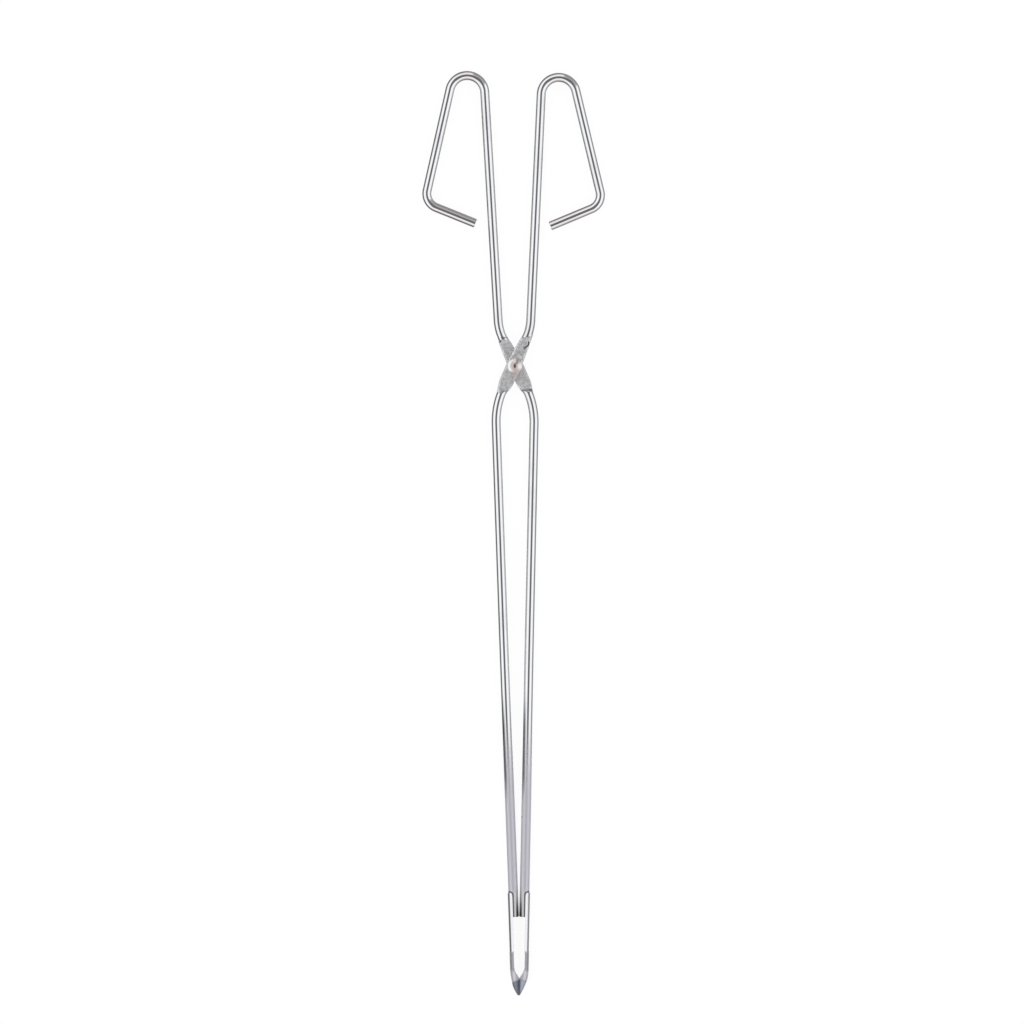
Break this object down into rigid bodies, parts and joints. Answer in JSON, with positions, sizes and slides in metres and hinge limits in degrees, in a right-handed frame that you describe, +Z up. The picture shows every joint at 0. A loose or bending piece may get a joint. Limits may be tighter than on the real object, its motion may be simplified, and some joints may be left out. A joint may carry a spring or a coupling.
{
  "type": "crucible tongs",
  "caption": "Long bent-wire crucible tongs, laid flat and closed, with open hand loops, a riveted crossing and pointed sheet jaws that swing open.",
  "frame": {"origin": "on the rivet's axis, in the plane that the tongs rest on when they lie flat", "axes": "+Z up, along the rivet towards its domed head; +Y along the tongs towards the hand loops, with the jaws towards -Y; +X towards the hand loop of the lever that lies on top"},
  "size_m": [0.0906, 0.457, 0.008],
  "materials": {
    "plated_wire": "bright nickel plate",
    "jaw_sheet": "bright nickel plate",
    "rivet": "bright nickel plate"
  },
  "bodies": {
    "under_half": {"lever_under": "plated_wire", "jaw_right": "jaw_sheet", "pivot_rivet": "rivet"},
    "over_half": {"lever_over": "plated_wire", "jaw_left": "jaw_sheet"}
  },
  "joints": [
    {"name": "pivot", "type": "hinge", "parent": "under_half", "child": "over_half", "pos_m": [0, 0, 0.0034], "axis": [0, 0, -1], "range_deg": [0, 45]}
  ]
}
